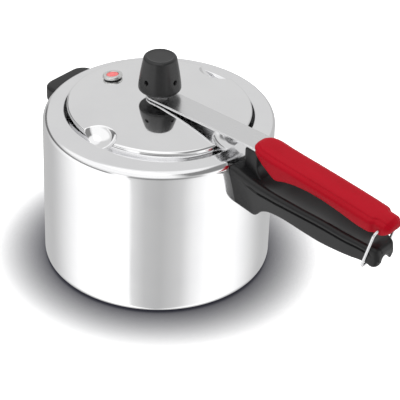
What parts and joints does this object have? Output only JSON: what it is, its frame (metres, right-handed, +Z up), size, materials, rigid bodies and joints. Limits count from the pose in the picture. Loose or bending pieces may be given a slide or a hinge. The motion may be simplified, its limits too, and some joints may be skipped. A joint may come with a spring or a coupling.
{
  "type": "stovetop pressure cooker",
  "caption": "Aluminium stovetop pressure cooker with an inside-fitting oval lid, red lid handle on a lever bar, black body handle, wire locking loop and weighted regulator.",
  "frame": {"origin": "on the pot's vertical axis, in the plane of its base", "axes": "+X from the pot's axis toward the end of the long handles, +Z up along the pot's axis, +Y to the left of the handles when looking along +X"},
  "size_m": [0.4045, 0.22, 0.2155],
  "materials": {
    "polished_aluminium": "polished",
    "satin_aluminium": "satin",
    "aluminium_rivet": "satin",
    "bar_steel": "brushed",
    "plated_steel": "bright",
    "weight_steel": "turned",
    "black_handle": "satin",
    "black_cap": "satin",
    "red_handle": "semi-gloss",
    "red_plug": "matt",
    "seal_rubber": "matt"
  },
  "bodies": {
    "pot": {"pot_body": "polished_aluminium", "body_handle": "black_handle", "body_handle_bracket": "plated_steel", "body_handle_rivets": "aluminium_rivet", "body_handle_screw": "plated_steel", "helper_handle": "black_handle", "helper_bracket": "plated_steel", "helper_rivets": "aluminium_rivet", "helper_screw": "plated_steel"},
    "lid": {"lid": "polished_aluminium", "sealing_gasket": "seal_rubber", "lid_bar": "bar_steel", "bar_spacer": "aluminium_rivet", "vent_pipe": "plated_steel", "vent_washer": "seal_rubber", "vent_nut": "plated_steel", "lid_handle": "red_handle", "lid_handle_screws": "plated_steel", "safety_valve_collar": "satin_aluminium", "safety_valve_washer": "seal_rubber", "safety_valve_nut": "plated_steel"},
    "loop": {"locking_loop": "plated_steel"},
    "safety_plug": {"safety_valve_plug": "red_plug"},
    "regulator_clip": {"regulator_clip": "plated_steel"},
    "regulator": {"regulator_weight": "weight_steel", "regulator_cap": "black_cap"}
  },
  "joints": [
    {"name": "lid_tilt", "type": "hinge", "parent": "pot", "child": "lid", "pos_m": [0.118, 0, 0.1691], "axis": [0, -1, 0], "range_deg": [0, 2.4]},
    {"name": "loop_swing", "type": "hinge", "parent": "lid", "child": "loop", "pos_m": [0.266, 0, 0.1515], "axis": [0, -1, 0], "range_deg": [0, 120]},
    {"name": "safety_plug_lift", "type": "slide", "parent": "lid", "child": "safety_plug", "axis": [-0.1274, 0, 0.9918], "range_m": [0, 0.018]},
    {"name": "regulator_lift", "type": "slide", "parent": "lid", "child": "regulator_clip", "axis": [0, 0, 1], "range_m": [0, 0.02]},
    {"name": "regulator_spin", "type": "hinge", "parent": "regulator_clip", "child": "regulator", "pos_m": [0, 0, 0.19], "axis": [0, 0, 1], "continuous": true}
  ],
  "couplings": [
    {"joint": "loop_swing", "follows": "lid_tilt", "ratio": 50}
  ]
}
